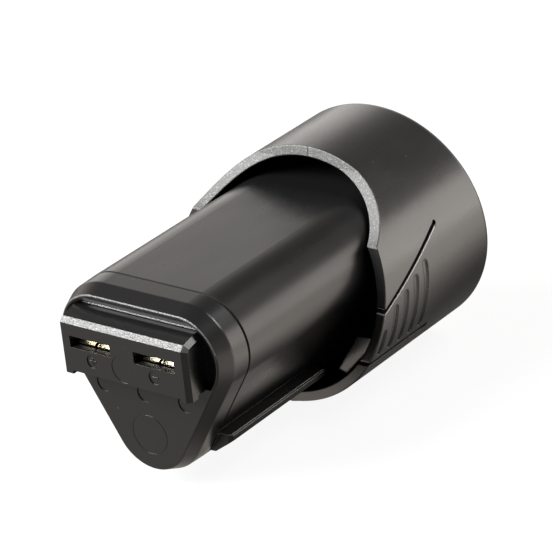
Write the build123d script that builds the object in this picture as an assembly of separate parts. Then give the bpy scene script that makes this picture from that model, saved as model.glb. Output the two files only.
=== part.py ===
from build123d import *
import math
import os

os.makedirs("parts", exist_ok=True)

# A slide-in battery pack for a small cordless tool: three round cells in a
# rounded triangular stem, a nose cover with two slotted terminals, and a large
# hollow cap with a squeeze tab on each side.
# X runs across the pack, -Y towards the terminals, +Z up. The pack lies on its
# cap, so Z starts at the surface it lies on and Y at the middle of its length.

# Whole pack
pack_length = 87.0
cap_width = 52.0
cap_height = 49.3

# Cap wall, and the gaps between it and the stem
cap_wall = 2.2
cap_end_wall = 3.0
cap_rear_round = 1.5
rest_flat_width = 6.0
rest_flank_width = 2.6
rest_flank_rise = 0.6
stem_side_gap = 3.1
stem_top_gap = 6.05
stem_keel_gap = 0.45

# Cells, which fill the length between the pads and the stem's width
cell_front_setback = 16.4
cell_side_gap = 0.8
cell_stack_gap = 0.6
cell_gap = 0.1
cell_top_gap = 0.3
sleeve_wall = 0.15
sleeve_clearance = 0.05
sleeve_lip = 2.6
crimp_depth = 0.5
crimp_width = 1.2
crimp_setback = 2.6
positive_cap_inset = 3.8
positive_cap_depth = 1.1
positive_cap_rise = 0.3
positive_cap_clearance = 0.1
washer_thickness = 0.2
washer_rim_gap = 0.3
can_wall = 0.25
roll_clearance = 0.1
roll_foot_gap = 0.4

# Stem housing
stem_wall = 1.5
corner_over_cell = 1.1
seam_setback = 12.4
stem_end_wall = 1.8
flange_thickness = 2.6
flange_clearance = 0.2
seam_bevel = 0.3

# Guide rails and the groove above each of them
rail_width = 2.73
rail_top_above_keel = 7.8
rail_edge_bevel = 0.3
rail_edge_height = 1.4
rail_root_inset = 0.75
rail_belly_out = 1.0
rail_front_setback = 0.6
rail_front_chamfer = 1.2
rail_foot_angle_share = 1.6
rail_belly_angle_share = 1.25
rail_rear_gap = 1.2
guide_groove_height = 1.8
guide_groove_depth = 0.6
guide_groove_bevel = 0.2

# Nose cover
nose_wall = 2.6
nose_shoulder_inset = 0.15
nose_bevel_length = 3.4
nose_front_inset = 1.5
nose_shoulder_round = 1.2
nose_lip_round = 0.35
spigot_length = 1.5
spigot_wall = 1.2
spigot_clearance = 0.1
moat_depth = 1.5
moat_lip = 0.5
moat_foot_rise = 0.5

# Terminal block on the nose
block_rise = 4.5
block_side_setback = 5.5
block_key_width = 0.5
block_top_setback = 5.1
block_height = 11.2
block_rear_rise = 0.8
block_top_bevel = 1.0
block_side_bevel = 0.95
block_key_bevel = 0.3
block_front_wall = 1.6
foot_width = 2.1
foot_drop = 0.7
foot_depth = 2.6
slot_inner_setback = 2.9
slot_outer_setback = 2.3
slot_shift = 0.6
slot_height = 2.5
slot_below_block_top = 4.8
pocket_side_margin = 0.3
pocket_height = 3.8

# Shallow marks moulded into the nose
mark_radius = 1.45
mark_inset = 0.2
mark_above_block_foot = 3.1
mark_depth = 0.2
dimple_radius = 2.9
dimple_depth = 0.1
ejector_radius = 1.9
ejector_side_setback = 5.1
ejector_below_block = 4.0
gate_ring_radius = 4.3
gate_ring_width = 0.15
gate_ring_depth = 0.08
gate_ring_above_keel = 9.1

# Terminal clips
leaf_thickness = 0.4
leaf_side_gap = 0.85
leaf_split = 0.7
leaf_tip_setback = 0.2
leaf_flare = 0.92
leaf_pinch = 0.24
leaf_spread = 1.2
leaf_pinch_setback = 1.8
leaf_shoulder_setback = 5.0
clip_base_setback = 6.8
tail_width = 3.0
tail_clearance = 0.15

# Circuit board, spacer and pads
board_thickness = 1.2
board_edge_gap = 0.25
board_ahead_of_spacer = 1.3
post_radius = 0.95
spacer_thickness = 1.9
spacer_fit = 0.1
window_lip = 3.0
insulator_thickness = 0.3
cushion_thickness = 0.6
top_notch_half_width = 3.0
top_notch_height = 6.8

# Nickel strips
strip_thickness = 0.2
strip_width = 6.0
lead_width = 4.0
long_lead_below_top = 1.8
lead_upright_thickness = 0.3

# Thermistor
bead_radius = 1.1
bead_length = 4.0
bead_gap = 0.06
bead_setback = 6.0
leg_radius = 0.25
leg_spread = 0.6

# Cap rim, seen from the side
rim_top_reach = 24.2
rim_edge_round = 0.25
rim_crease_reach = 25.0
rim_crease_above_axis = 21.5
rim_scoop_reach = 28.95
rim_scoop_above_axis = 16.0
rim_bend_reach = 35.1
rim_bend_above_axis = 11.3
rim_side_reach = 38.2
rim_side_drop = 2.0
rim_bottom_reach = 41.8

# Release tabs, seen from the side
tab_front_setback = 0.3
tab_front_drop = 1.0
tab_rear_reach = 16.6
tab_rear_rise = 9.2
tab_lower_drop = 12.6
tab_lower_rear_reach = 20.0
slot_gap = 0.8
hinge_gap = 0.45
relief_radius = 0.5
lower_relief_radius = 0.45
groove_count = 5
groove_width = 1.6
groove_depth = 0.35
groove_front_setback = 0.1
groove_rear_gap = 3.4
groove_lean = 3.0
groove_top_margin = 2.0
groove_rim_margin = 0.8
groove_bottom_margin = 1.5
lug_front_setback = 0.2
lug_length = 7.0
lug_top_drop = 7.4
lug_foot_above_floor = 8.15
lug_stem_gap = 3.4
lug_toe_gap = 0.55
lug_toe_drop = 0.6
lug_neck_gap = 0.6

# Cap screws
screw_radius = 1.0
screw_hole_clearance = 0.2
screw_pilot_clearance = 0.05
screw_head_radius = 2.1
screw_head_height = 1.5
screw_head_clearance = 0.2
screw_length = 9.0
screw_cross_width = 0.5
screw_cross_depth = 0.7
screw_cross_span = 2.4
boss_radius = 2.6
boss_length = 8.0
boss_wall_gap = 0.35

overrun = 1.0
touch = 0.02

# Places worked out from the sizes above
rear_y = pack_length / 2
axis_z = cap_height / 2
cap_half_width = cap_width / 2
stem_half_width = cap_half_width - cap_wall - stem_side_gap
stem_top_z = cap_height - cap_wall - stem_top_gap
keel_z = cap_wall + stem_keel_gap

# The cells take the stem's width or its height, whichever has less room for them
room_across = stem_half_width - stem_wall - cell_side_gap
room_up = stem_top_z - keel_z - stem_wall * 2 - cell_stack_gap
cell_diameter = min(room_across, room_up / (1 + math.sqrt(3) / 2))
cell_radius = cell_diameter / 2
cell_pitch = cell_diameter + cell_gap
can_radius = cell_radius - sleeve_wall - sleeve_clearance
cell_spread = cell_pitch / 2 + cell_gap
inner_top_z = stem_top_z - stem_wall
upper_cell_z = inner_top_z - cell_radius - cell_top_gap
lower_cell_z = upper_cell_z - math.sqrt(cell_pitch ** 2 - cell_spread ** 2)
positive_cap_radius = cell_radius - positive_cap_inset
window_radius = cell_radius - window_lip

# Corners of the stem's section
corner_radius = cell_radius + corner_over_cell
corner_spread = stem_half_width - corner_radius
upper_corner_z = stem_top_z - corner_radius
lower_corner_z = keel_z + corner_radius
side_angle = math.atan2(corner_spread, upper_corner_z - lower_corner_z)

# Stations along the pack, each a distance forward from the rear face
stem_reach = pack_length - seam_setback
nose_reach = pack_length - block_rise
rail_rear_reach = rim_bottom_reach + rail_rear_gap
tab_front_reach = rim_side_reach - tab_front_setback
lug_front_reach = rim_side_reach - lug_front_setback
stem_end_reach = cap_end_wall + stem_end_wall
cushion_reach = stem_end_reach + cushion_thickness
cell_rear_reach = cushion_reach + strip_thickness
cell_front_reach = pack_length - cell_front_setback
cell_length = cell_front_reach - cell_rear_reach
insulator_reach = cell_front_reach + strip_thickness
spacer_rear_reach = insulator_reach + insulator_thickness
spacer_front_reach = spacer_rear_reach + spacer_thickness
board_rear_reach = spacer_front_reach + board_ahead_of_spacer
board_front_reach = board_rear_reach + board_thickness
nose_floor_reach = nose_reach - nose_wall
pocket_front_reach = pack_length - block_front_wall
leaf_tip_reach = pocket_front_reach - leaf_tip_setback
clip_base_reach = leaf_tip_reach - clip_base_setback
board_inset = stem_wall + spigot_clearance + spigot_wall + board_edge_gap


def station(reach):
    """Plane across the pack, facing the nose, at a distance forward of the rear face."""
    return Plane.XZ.offset(reach - rear_y)


def side_plane(x):
    """Plane along the pack, facing +X."""
    return Plane.YZ.offset(x)


def across(face, rear_reach, front_reach):
    """Solid from one station to another with a section drawn in X and Z."""
    return extrude(station(rear_reach) * face, amount=front_reach - rear_reach)


def along_y(reach):
    """Y of a station."""
    return rear_y - reach


def write(solid, node, colour):
    """Save one node as its own STEP file."""
    solid.label = node
    solid.color = Color(*colour)
    export_step(solid, f"parts/{node}.step")
    print(node, round(solid.volume, 2))


# Places on the terminal block
block_half = stem_half_width - block_side_setback
block_top_z = stem_top_z - block_top_setback
block_bottom_z = block_top_z - block_height
block_rear_z = block_top_z + block_rear_rise
slot_z = block_top_z - slot_below_block_top
slot_width = block_half - slot_inner_setback - slot_outer_setback
slot_spread = slot_inner_setback + slot_width / 2
leaf_width = (slot_width - leaf_side_gap * 2 - leaf_split) / 2


def slot_x(side):
    """X of the middle of the slot on one side, -1 for left and 1 for right."""
    return side * slot_spread - slot_shift


# Sections


def polar(centre_x, centre_z, radius, angle):
    """Point at an angle in radians from a centre."""
    return (centre_x + radius * math.cos(angle), centre_z + radius * math.sin(angle))


def stem_section(inset):
    """Rounded triangle of the stem, drawn in by an inset from its outside."""
    radius = corner_radius - inset
    middle_angle = (math.pi / 2 - side_angle) / 2
    top = polar(corner_spread, upper_corner_z, radius, math.pi / 2)
    shoulder = polar(corner_spread, upper_corner_z, radius, middle_angle)
    side_top = polar(corner_spread, upper_corner_z, radius, -side_angle)
    side_foot = polar(0, lower_corner_z, radius, -side_angle)
    keel = polar(0, lower_corner_z, radius, -math.pi / 2)
    outline = [
        Line(mirrored(top), top),
        ThreePointArc(top, shoulder, side_top),
        Line(side_top, side_foot),
        ThreePointArc(side_foot, keel, mirrored(side_foot)),
        Line(mirrored(side_foot), mirrored(side_top)),
        ThreePointArc(mirrored(side_top), mirrored(shoulder), mirrored(top)),
    ]
    return make_face(outline)


def mirrored(point):
    """The same point on the other side of the pack."""
    return (-point[0], point[1])


def stem_side_x(z, inset=0):
    """X of the stem's slanted side at a height."""
    foot_x, foot_z = polar(0, lower_corner_z, corner_radius - inset, -side_angle)
    return foot_x + (z - foot_z) * math.tan(side_angle)


def cap_section(inset):
    """Ellipse of the cap, drawn in by an inset."""
    return Pos(0, axis_z) * Ellipse(cap_half_width - inset, axis_z - inset)


def cap_x(z, inset=0):
    """X of the cap's right wall at a height."""
    share = (z - axis_z) / (axis_z - inset)
    return (cap_half_width - inset) * math.sqrt(1 - share ** 2)


def round_at(x, z, radius):
    """Circle in a section."""
    return Pos(x, z) * Circle(radius)


def block_at(low_x, low_z, high_x, high_z):
    """Rectangle in a section, given by two corners."""
    middle = Pos((low_x + high_x) / 2, (low_z + high_z) / 2)
    return middle * Rectangle(high_x - low_x, high_z - low_z)


def side_face(points):
    """Polygon seen from the side, its points given as reach and Z."""
    turned = [(along_y(reach), z) for reach, z in points]
    return make_face(Polyline(*turned, close=True))


def through_x(face, low_x, high_x):
    """Solid from one X to another with a shape seen from the side."""
    return extrude(side_plane(low_x) * face, amount=high_x - low_x)


# Stem housing

rail_top_z = keel_z + rail_top_above_keel
rail_half_width = stem_side_x(rail_top_z) + rail_width
boss_side_z = rail_top_z + boss_radius * 2


def boss_places():
    """Centres of the three screw bosses, in the space between stem and cap."""
    top_z = axis_z * 2 - cap_wall - boss_wall_gap - boss_radius
    side_x = cap_x(boss_side_z, cap_wall) - boss_radius - boss_wall_gap * 2
    return [(0, top_z), (side_x, boss_side_z), (-side_x, boss_side_z)]


def guide_rail():
    """Right-hand rail, with a chamfered front end."""
    edge_z = rail_top_z - rail_edge_height
    foot_angle = -side_angle * rail_foot_angle_share
    belly_angle = -side_angle * rail_belly_angle_share
    foot_x, foot_z = polar(0, lower_corner_z, corner_radius - rail_root_inset, foot_angle)
    belly_x, belly_z = polar(0, lower_corner_z, corner_radius + rail_belly_out, belly_angle)
    root_x = stem_side_x(rail_top_z, rail_root_inset)
    corners = [(root_x, rail_top_z), (rail_half_width - rail_edge_bevel, rail_top_z),
               (rail_half_width, rail_top_z - rail_edge_bevel), (rail_half_width, edge_z),
               (belly_x, belly_z), (foot_x, foot_z)]
    section = make_face(Polyline(*corners, close=True))
    front = stem_reach - rail_front_setback
    rail = across(section, rail_rear_reach, front)
    nib = Plane(origin=(rail_half_width, along_y(front), edge_z))
    return rail - nib * Rot(0, 0, 45) * Box(rail_front_chamfer, rail_front_chamfer, cap_height)


def guide_groove():
    """Shallow slot in the stem's side, just above the right-hand rail."""
    high_z = rail_top_z + guide_groove_height
    lip_z = high_z + guide_groove_bevel * 2
    corners = [(stem_side_x(rail_top_z, guide_groove_depth), rail_top_z),
               (stem_side_x(high_z, guide_groove_depth), high_z),
               (stem_side_x(high_z, guide_groove_bevel), high_z),
               (stem_side_x(lip_z, -guide_groove_bevel), lip_z),
               (stem_side_x(lip_z, -overrun), lip_z),
               (stem_side_x(rail_top_z, -overrun), rail_top_z)]
    section = make_face(Polyline(*corners, close=True))
    return across(section, rail_rear_reach, stem_reach + overrun)


def make_stem_housing():
    """Tube for the cells, closed behind, with its flange, bosses, rails and grooves."""
    body = across(stem_section(0), cap_end_wall, stem_reach)
    seam = body.edges().group_by(Axis.Y)[0]
    body = chamfer(seam, seam_bevel)
    flange = across(cap_section(cap_wall + flange_clearance), cap_end_wall, cap_end_wall + flange_thickness)
    rail = guide_rail()
    body = body + flange + rail + mirror(rail, Plane.YZ)
    boss_front = cap_end_wall + flange_thickness + boss_length
    for x, z in boss_places():
        body += across(round_at(x, z, boss_radius), cap_end_wall, boss_front)
    body -= across(stem_section(stem_wall), stem_end_reach, stem_reach + overrun)
    groove = guide_groove()
    body = body - groove - mirror(groove, Plane.YZ)
    for x, z in boss_places():
        pilot = round_at(x, z, screw_radius + screw_pilot_clearance)
        body -= across(pilot, cap_end_wall - overrun, boss_front - overrun)
    return body


# Nose cover

moat_floor = nose_reach - moat_depth
block_left = -block_half - block_key_width


def block_side_edges(block, side):
    """Front and top edges of one side of the block."""
    return [edge for edge in block.edges()
            if edge.center().X * side > block_half / 2
            and edge.center().Y < along_y(moat_floor)
            and edge.center().Z > block_bottom_z + foot_drop]


def terminal_block():
    """Solid block that carries the two slots, with a bevel on its right side for keying."""
    profile = side_face([
        (moat_floor - overrun, block_bottom_z),
        (pack_length, block_bottom_z),
        (pack_length, block_top_z - block_top_bevel),
        (pack_length - block_top_bevel, block_top_z),
        (nose_reach, block_rear_z),
        (moat_floor - overrun, block_rear_z),
    ])
    block = through_x(profile, block_left, block_half)
    block = chamfer(block_side_edges(block, 1), block_side_bevel)
    block = chamfer(block_side_edges(block, -1), block_key_bevel)
    right_foot = block_foot(block_half - foot_width, block_half)
    right_edges = right_foot.edges().filter_by(Axis.Z).group_by(Axis.X)[-1]
    right_foot = chamfer(right_edges.sort_by(Axis.Y)[:1], block_side_bevel)
    left_foot = block_foot(block_left, block_left + foot_width)
    left_edges = left_foot.edges().filter_by(Axis.Z).group_by(Axis.X)[0]
    left_foot = chamfer(left_edges.sort_by(Axis.Y)[:1], block_key_bevel)
    return block + right_foot + left_foot


def block_foot(low_x, high_x):
    """Short foot under the front of the block."""
    foot = block_at(low_x, block_bottom_z - foot_drop, high_x, block_bottom_z + foot_drop)
    return across(foot, pack_length - foot_depth, pack_length)


def moat():
    """Sunken floor between the block and the nose's rounded edge."""
    ground = stem_section(nose_front_inset + moat_lip)
    ground -= block_at(-cap_width, -cap_height, cap_width, block_bottom_z + moat_foot_rise)
    ground -= block_at(block_left, -cap_height, block_half, block_rear_z - block_side_bevel)
    return across(ground, moat_floor, nose_reach + overrun)


def nose_marks():
    """Shallow round marks on the block and on the lower face."""
    mark_z = block_bottom_z + mark_above_block_foot
    dimple = round_at(-slot_shift, mark_z, dimple_radius)
    marks = across(dimple, pack_length - dimple_depth, pack_length + overrun)
    for side in (-1, 1):
        ring = round_at(slot_x(side) - side * mark_inset, mark_z, mark_radius)
        marks += across(ring, pack_length - mark_depth, pack_length + overrun)
    for step in (-1, 0, 1):
        pad_x = step * (block_half - ejector_side_setback)
        pad = round_at(pad_x, block_bottom_z - ejector_below_block, ejector_radius)
        marks += across(pad, nose_reach - mark_depth, nose_reach + overrun)
    gate_z = keel_z + gate_ring_above_keel
    gate = round_at(0, gate_z, gate_ring_radius) - round_at(0, gate_z, gate_ring_radius - gate_ring_width)
    return marks + across(gate, nose_reach - gate_ring_depth, nose_reach + overrun)


def terminal_openings():
    """Slots in the block's face, each with the pocket behind it."""
    openings = []
    for side in (-1, 1):
        x = slot_x(side)
        slot = block_at(x - slot_width / 2, slot_z - slot_height / 2,
                        x + slot_width / 2, slot_z + slot_height / 2)
        openings.append(across(slot, pocket_front_reach - overrun, pack_length + overrun))
        half = slot_width / 2 + pocket_side_margin
        pocket = block_at(x - half, slot_z - pocket_height / 2, x + half, slot_z + pocket_height / 2)
        openings.append(across(pocket, nose_floor_reach - overrun, pocket_front_reach))
    return openings


def edges_at(solid, reach):
    """Edges that lie in a station."""
    return [edge for edge in solid.edges()
            if edge.bounding_box().size.Y < touch and abs(edge.center().Y - along_y(reach)) < touch]


def make_nose_cover():
    """Front shell with its terminal block, sunken floor, slots and spigot."""
    shoulder_reach = nose_reach - nose_bevel_length
    rear_section = station(stem_reach) * stem_section(0)
    shoulder_section = station(shoulder_reach) * stem_section(nose_shoulder_inset)
    front_section = station(nose_reach) * stem_section(nose_front_inset)
    shell = loft([rear_section, shoulder_section, front_section], ruled=True)
    shell = fillet(edges_at(shell, shoulder_reach), nose_shoulder_round)
    shell = fillet(edges_at(shell, nose_reach), nose_lip_round)
    shell = chamfer(edges_at(shell, stem_reach), seam_bevel)
    shell -= moat()
    shell += terminal_block()
    spigot_inset = stem_wall + spigot_clearance
    shell += across(stem_section(spigot_inset), stem_reach - spigot_length, stem_reach + overrun)
    hollow = stem_section(spigot_inset + spigot_wall)
    shell -= across(hollow, stem_reach - spigot_length - overrun, nose_floor_reach)
    for opening in terminal_openings():
        shell -= opening
    return shell - nose_marks()


# Base cap and release tabs


def rest_pad():
    """Flat that the pack lies on, with a low flank on each side, under the cap's ellipse."""
    flat_x = rest_flat_width / 2
    flank_x = flat_x + rest_flank_width
    return make_face(Polyline(
        (-flank_x, rest_flank_rise),
        (-flat_x, 0),
        (flat_x, 0),
        (flank_x, rest_flank_rise),
        close=True,
    ))


def rim_profile():
    """Side view of the skirt: flat behind, with a creased, scooped and slanting front rim."""
    top = (along_y(rim_top_reach), cap_height + overrun)
    crease = (along_y(rim_crease_reach), axis_z + rim_crease_above_axis)
    scoop = (along_y(rim_scoop_reach), axis_z + rim_scoop_above_axis)
    bend = (along_y(rim_bend_reach), axis_z + rim_bend_above_axis)
    side = (along_y(rim_side_reach), axis_z - rim_side_drop)
    bottom = (along_y(rim_bottom_reach), -overrun)
    rear_bottom = (rear_y + overrun, -overrun)
    rear_top = (rear_y + overrun, cap_height + overrun)
    return make_face([
        Line(top, crease),
        ThreePointArc(crease, scoop, bend),
        ThreePointArc(bend, side, bottom),
        Line(bottom, rear_bottom),
        Line(rear_bottom, rear_top),
        Line(rear_top, top),
    ])


def skirt():
    """Hollow wall of the cap, cut by the rim and with the rim's edges rounded."""
    outer = across(cap_section(0), 0, rim_bottom_reach + overrun)
    rear_edge = outer.edges().group_by(Axis.Y)[-1]
    outer = fillet(rear_edge, cap_rear_round) + across(rest_pad(), cap_rear_round, rim_bottom_reach + overrun)
    wall = outer - across(cap_section(cap_wall), cap_end_wall, rim_bottom_reach + overrun * 2)
    wall = wall & through_x(rim_profile(), -cap_width, cap_width)
    rim = [edge for edge in wall.edges() if edge.bounding_box().max.Y < along_y(rim_top_reach)]
    return fillet(rim, rim_edge_round)


tab_slope = (tab_rear_rise + tab_front_drop) / (tab_front_reach - tab_rear_reach)
hinge_lean = (tab_lower_rear_reach - tab_rear_reach) / (tab_rear_rise + tab_lower_drop)


def upper_slot_z(reach):
    """Height of the upper slot's middle at a station."""
    return axis_z - tab_front_drop + (tab_front_reach - reach) * tab_slope


def hinge_reach(z):
    """Station of the hinge line's middle at a height."""
    return tab_rear_reach + (axis_z + tab_rear_rise - z) * hinge_lean


def tab_outline(slot_shift, hinge_shift):
    """Side view of a tab, moved in or out from the middle of its slots."""
    front = rim_bottom_reach + overrun
    steep = math.sqrt(1 + tab_slope ** 2)
    low_z = axis_z - tab_lower_drop - slot_shift
    lift = slot_shift * steep
    top_rear = tab_rear_reach - hinge_shift
    corner_z = upper_slot_z(top_rear) + lift
    low_rear = hinge_reach(low_z) - hinge_shift
    return side_face([
        (front, low_z),
        (front, upper_slot_z(front) + lift),
        (top_rear, corner_z),
        (low_rear, low_z),
    ])


def relief_holes():
    """Round ends of the two slots on the right, bored along X."""
    upper = Pos(along_y(tab_rear_reach), axis_z + tab_rear_rise) * Circle(relief_radius)
    low_z = axis_z - tab_lower_drop
    lower = Pos(along_y(hinge_reach(low_z)), low_z) * Circle(lower_relief_radius)
    near = cap_half_width / 2
    return through_x(upper, near, cap_width) + through_x(lower, near, cap_width)


def tab_lug():
    """Latch lug inside the front of the right tab."""
    top_z = axis_z - lug_top_drop
    foot_z = lug_foot_above_floor
    toe_z = foot_z - lug_toe_drop
    neck_z = axis_z - tab_lower_drop + slot_gap
    gap = lug_stem_gap / math.cos(side_angle)
    wall_inset = cap_wall / 2
    corners = [
        (cap_x(top_z, wall_inset), top_z),
        (stem_side_x(top_z) + gap, top_z - lug_neck_gap),
        (stem_side_x(foot_z) + gap, foot_z),
        (cap_x(toe_z, cap_wall) - lug_toe_gap, toe_z),
        (cap_x(neck_z, cap_wall + lug_neck_gap) - lug_neck_gap, neck_z - slot_gap),
        (cap_x(neck_z, cap_wall) - lug_neck_gap, neck_z),
        (cap_x(neck_z, wall_inset), neck_z),
    ]
    section = make_face(Polyline(*corners, close=True))
    return across(section, lug_front_reach - lug_length, lug_front_reach)


def rim_z(reach):
    """Height of the rim's lower slope at a station."""
    side_z = axis_z - rim_side_drop
    return side_z * (rim_bottom_reach - reach) / (rim_bottom_reach - rim_side_reach)


def finger_grooves():
    """Shallow grooves round the outside of the right tab."""
    band = across(cap_section(-overrun), 0, rim_bottom_reach + overrun)
    band -= across(cap_section(groove_depth), -overrun, rim_bottom_reach + overrun * 2)
    grooves = []
    foot_z = axis_z - tab_lower_drop + groove_bottom_margin
    first = tab_front_reach - groove_front_setback
    pitch = (first - tab_lower_rear_reach - groove_rear_gap) / (groove_count - 1)
    for index in range(groove_count):
        reach = first - index * pitch
        below_rim = rim_z(reach + groove_width / 2) - groove_rim_margin
        top_z = min(upper_slot_z(reach) - groove_top_margin, below_rim)
        view = Pos(along_y(reach), (foot_z + top_z) / 2) * SlotOverall(
            top_z - foot_z, groove_width, rotation=90 - groove_lean)
        grooves.append(through_x(view, cap_half_width / 2, cap_width) & band)
    return grooves


def make_right_tab(wall):
    """Right release tab, cut from the cap's own wall."""
    view = tab_outline(-slot_gap / 2, -hinge_gap / 2)
    tab = wall & through_x(view, cap_half_width / 2, cap_width)
    tab += tab_lug()
    tab -= relief_holes()
    for groove in finger_grooves():
        tab -= groove
    return tab


def make_base_cap(wall):
    """Cap with its end wall, the two tab windows and the screw holes."""
    window = through_x(tab_outline(slot_gap / 2, hinge_gap / 2), cap_half_width / 2, cap_width)
    window += relief_holes()
    cap = wall - window - mirror(window, Plane.YZ)
    for x, z in boss_places():
        cap -= across(round_at(x, z, screw_radius + screw_hole_clearance), -overrun, cap_end_wall + overrun)
        cap -= across(round_at(x, z, screw_head_radius + screw_head_clearance), -overrun, screw_head_height)
    return cap


def make_cap_screws():
    """Three self-tapping screws, heads in the cap's rear face."""
    screws = []
    for x, z in boss_places():
        screw = across(round_at(x, z, screw_head_radius), 0, screw_head_height)
        screw += across(round_at(x, z, screw_radius), screw_head_height, screw_head_height + screw_length)
        for width, height in ((screw_cross_span, screw_cross_width), (screw_cross_width, screw_cross_span)):
            screw -= across(Pos(x, z) * Rectangle(width, height), -overrun, screw_cross_depth)
        screws.append(screw)
    return Compound(children=screws)


# Cells

cells = {
    "left_cell": (-cell_spread, upper_cell_z, True),
    "right_cell": (cell_spread, upper_cell_z, True),
    "lower_cell": (0, lower_cell_z, False),
}


def bar(cell, radius, start, finish):
    """Round bar on a cell's axis, between two distances from its negative end."""
    x, z, front_positive = cell
    if front_positive:
        return across(round_at(x, z, radius), cell_rear_reach + start, cell_rear_reach + finish)
    return across(round_at(x, z, radius), cell_front_reach - finish, cell_front_reach - start)


# Distances from a cell's negative end
can_floor = sleeve_wall + can_wall
can_mouth = cell_length - positive_cap_rise - sleeve_wall
crimp_front = cell_length - crimp_setback
crimp_rear = crimp_front - crimp_width
roll_room_end = crimp_rear - can_wall
cap_seat = cell_length - positive_cap_depth


def make_can(cell):
    """Steel can with a closed foot, a crimped bead and a seat for the positive cap."""
    can = bar(cell, can_radius, sleeve_wall, can_mouth)
    groove = bar(cell, can_radius + overrun, crimp_rear, crimp_front)
    groove -= bar(cell, can_radius - crimp_depth, crimp_rear - overrun, crimp_front + overrun)
    can -= groove
    can -= bar(cell, can_radius - can_wall, can_floor, roll_room_end)
    can -= bar(cell, can_radius - crimp_depth - can_wall, roll_room_end, cap_seat - can_wall)
    return can - bar(cell, positive_cap_radius + positive_cap_clearance, cap_seat, cell_length + overrun)


def make_electrode_roll(cell):
    """Wound electrodes that fill the can."""
    half_gap = roll_foot_gap / 2
    return bar(cell, can_radius - can_wall - roll_clearance, can_floor + half_gap, roll_room_end - half_gap)


def make_positive_cap(cell):
    """Raised positive contact in the end of the can."""
    flange = bar(cell, positive_cap_radius, cap_seat, cell_length - positive_cap_rise)
    return flange + bar(cell, positive_cap_radius - crimp_depth, cap_seat, cell_length)


def make_washer(cell):
    """Insulating washer on the crimped rim, round the positive cap."""
    finish = can_mouth + washer_thickness
    ring = bar(cell, can_radius - washer_rim_gap, can_mouth, finish)
    return ring - bar(cell, positive_cap_radius, can_mouth - overrun, finish + overrun)


def make_sleeve(cell):
    """Shrink sleeve, folded over both ends of the can."""
    sleeve = bar(cell, cell_radius, 0, cell_length)
    sleeve -= bar(cell, can_radius + sleeve_clearance, sleeve_wall, cell_length - sleeve_wall)
    return sleeve - bar(cell, cell_radius - sleeve_lip, -overrun, cell_length + overrun)


# Strips and leads


def link_section(first, second):
    """Straight strip joining two cell centres, with round ends."""
    (ax, az), (bx, bz) = first, second
    length = math.dist(first, second)
    turn = math.degrees(math.atan2(bz - az, bx - ax))
    middle = Pos((ax + bx) / 2, (az + bz) / 2)
    return middle * Rot(0, 0, turn) * SlotCenterToCenter(length, strip_width)


def make_front_link():
    """Strip from the lower cell to the right cell, across their front ends."""
    section = link_section((0, lower_cell_z), (cell_spread, upper_cell_z))
    return across(section, cell_front_reach, insulator_reach)


def make_rear_link():
    """Strip from the left cell to the lower cell, across their rear ends."""
    section = link_section((0, lower_cell_z), (-cell_spread, upper_cell_z))
    return across(section, cushion_reach, cell_rear_reach)


long_lead_z = inner_top_z - long_lead_below_top


def make_positive_lead():
    """Strip from the left cell's front end up to the circuit board."""
    inner_x = -cell_spread + strip_width / 2
    pad = round_at(-cell_spread, upper_cell_z, strip_width / 2)
    pad += block_at(-cell_spread, upper_cell_z - lead_width / 2, inner_x, upper_cell_z + lead_width / 2)
    lead = across(pad, cell_front_reach, insulator_reach)
    rise = block_at(inner_x - lead_upright_thickness, upper_cell_z - lead_width / 2,
                    inner_x, upper_cell_z + lead_width / 2)
    return lead + across(rise, cell_front_reach, board_rear_reach)


def make_negative_lead():
    """Strip from the right cell's rear end, forward between the cells to the board."""
    low_z = long_lead_z - lead_upright_thickness / 2
    high_z = long_lead_z + lead_upright_thickness / 2
    pad = round_at(cell_spread, upper_cell_z, strip_width / 2)
    arm = block_at(-lead_width / 2, low_z - lead_width, cell_spread, high_z)
    arm += block_at(cell_spread - strip_width / 2, upper_cell_z, cell_spread + strip_width / 2, high_z)
    lead = across(pad + arm, cushion_reach, cell_rear_reach)
    run_section = block_at(-lead_width / 2, low_z, lead_width / 2, high_z)
    return lead + across(run_section, cushion_reach, board_rear_reach)


# Terminal clips


def make_clip(side):
    """Terminal clip with two sprung leaf pairs on one base and a tail to the board."""
    shoulder = leaf_tip_reach - leaf_shoulder_setback
    pinch = leaf_tip_reach - leaf_pinch_setback
    upper = [(leaf_tip_reach, leaf_flare), (pinch, leaf_pinch), (shoulder, leaf_spread),
             (clip_base_reach, leaf_spread)]
    lower = [(reach, -rise) for reach, rise in reversed(upper)]
    path = [(along_y(reach), slot_z + rise) for reach, rise in upper + lower]
    strip = trace(Polyline(*path), leaf_thickness)
    middle = slot_x(side)
    half_split = leaf_split / 2
    clip = through_x(strip, middle - half_split - leaf_width, middle - half_split)
    clip += through_x(strip, middle + half_split, middle + half_split + leaf_width)
    half = leaf_thickness / 2
    base = block_at(middle - half_split - leaf_width, slot_z - leaf_spread - half,
                    middle + half_split + leaf_width, slot_z + leaf_spread + half)
    clip += across(base, clip_base_reach - half, clip_base_reach + half)
    return clip + across(tail_section(side, 0), board_rear_reach, clip_base_reach)


def tail_section(side, margin):
    """Section of a clip's tail, or of its hole in the board with a margin."""
    x = slot_x(side)
    half_width = tail_width / 2 + margin
    half_height = leaf_thickness / 2 + margin
    z = slot_z - leaf_spread
    return block_at(x - half_width, z - half_height, x + half_width, z + half_height)


# Board, spacer and pads


def post_places():
    """Centres of the posts that hold the board off the spacer, one outside each window."""
    reach = window_radius + post_radius
    side_x = cell_spread + reach
    return [(side_x, upper_cell_z), (-side_x, upper_cell_z), (0, lower_cell_z - reach)]


def top_notch():
    """Gap at the top of the spacer and pad for the thermistor's legs and the long lead."""
    return block_at(-top_notch_half_width, inner_top_z - top_notch_height, top_notch_half_width,
                    inner_top_z + overrun)


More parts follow.
